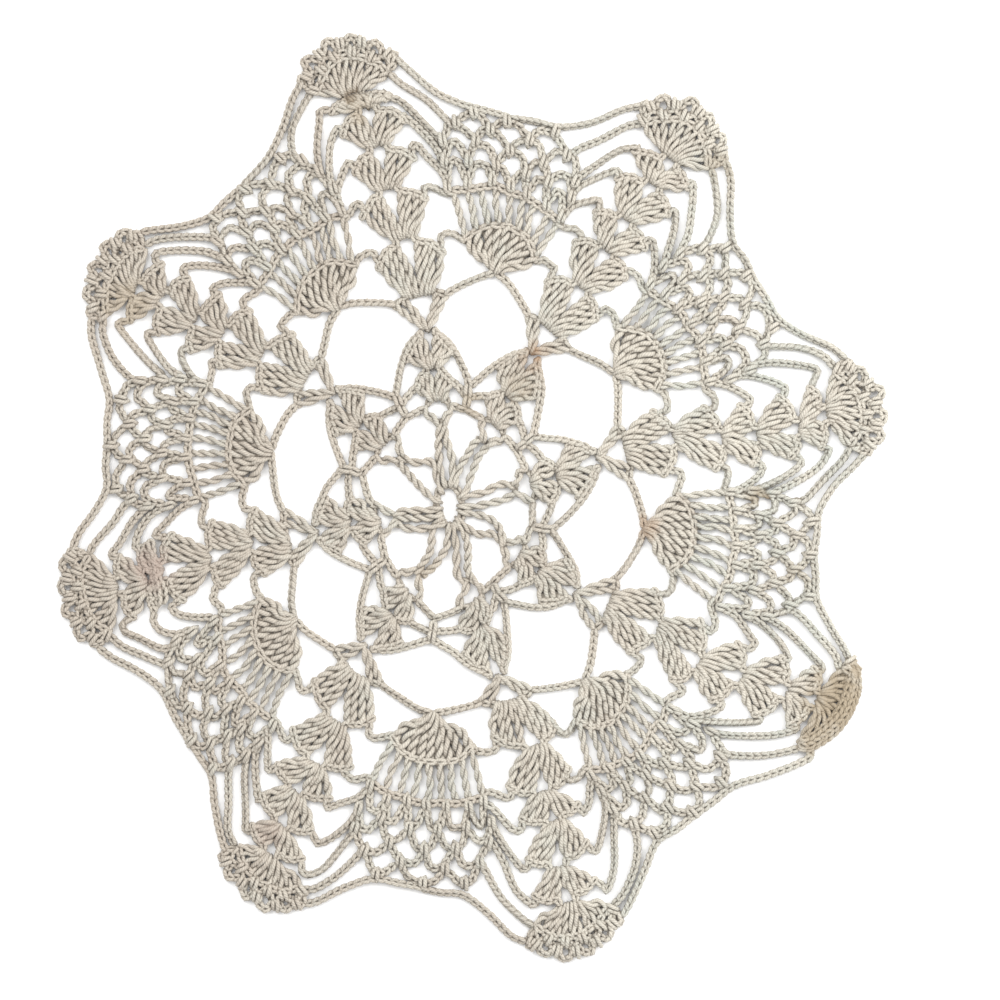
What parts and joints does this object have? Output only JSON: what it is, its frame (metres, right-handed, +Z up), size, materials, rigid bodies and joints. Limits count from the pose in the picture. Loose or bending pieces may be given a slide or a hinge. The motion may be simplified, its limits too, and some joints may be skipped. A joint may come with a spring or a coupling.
{
  "type": "crocheted lace doily",
  "caption": "Round crocheted lace table mat with pointed arms, shell columns, pineapple fans and open mesh between them, lying flat.",
  "frame": {"origin": "centre of the bounding box, at the height of the face that lies on the table", "axes": "+Z up from the table through the lace's right side; +Y towards the longest arm; +X to the right of +Y seen from above"},
  "size_m": [0.1868, 0.2084, 0.0034],
  "materials": {
    "cotton_thread": "unbleached cotton crochet thread, aged and spotted with tea-coloured stains, matt"
  },
  "bodies": {
    "root": {"lace": "cotton_thread"}
  },
  "joints": []
}
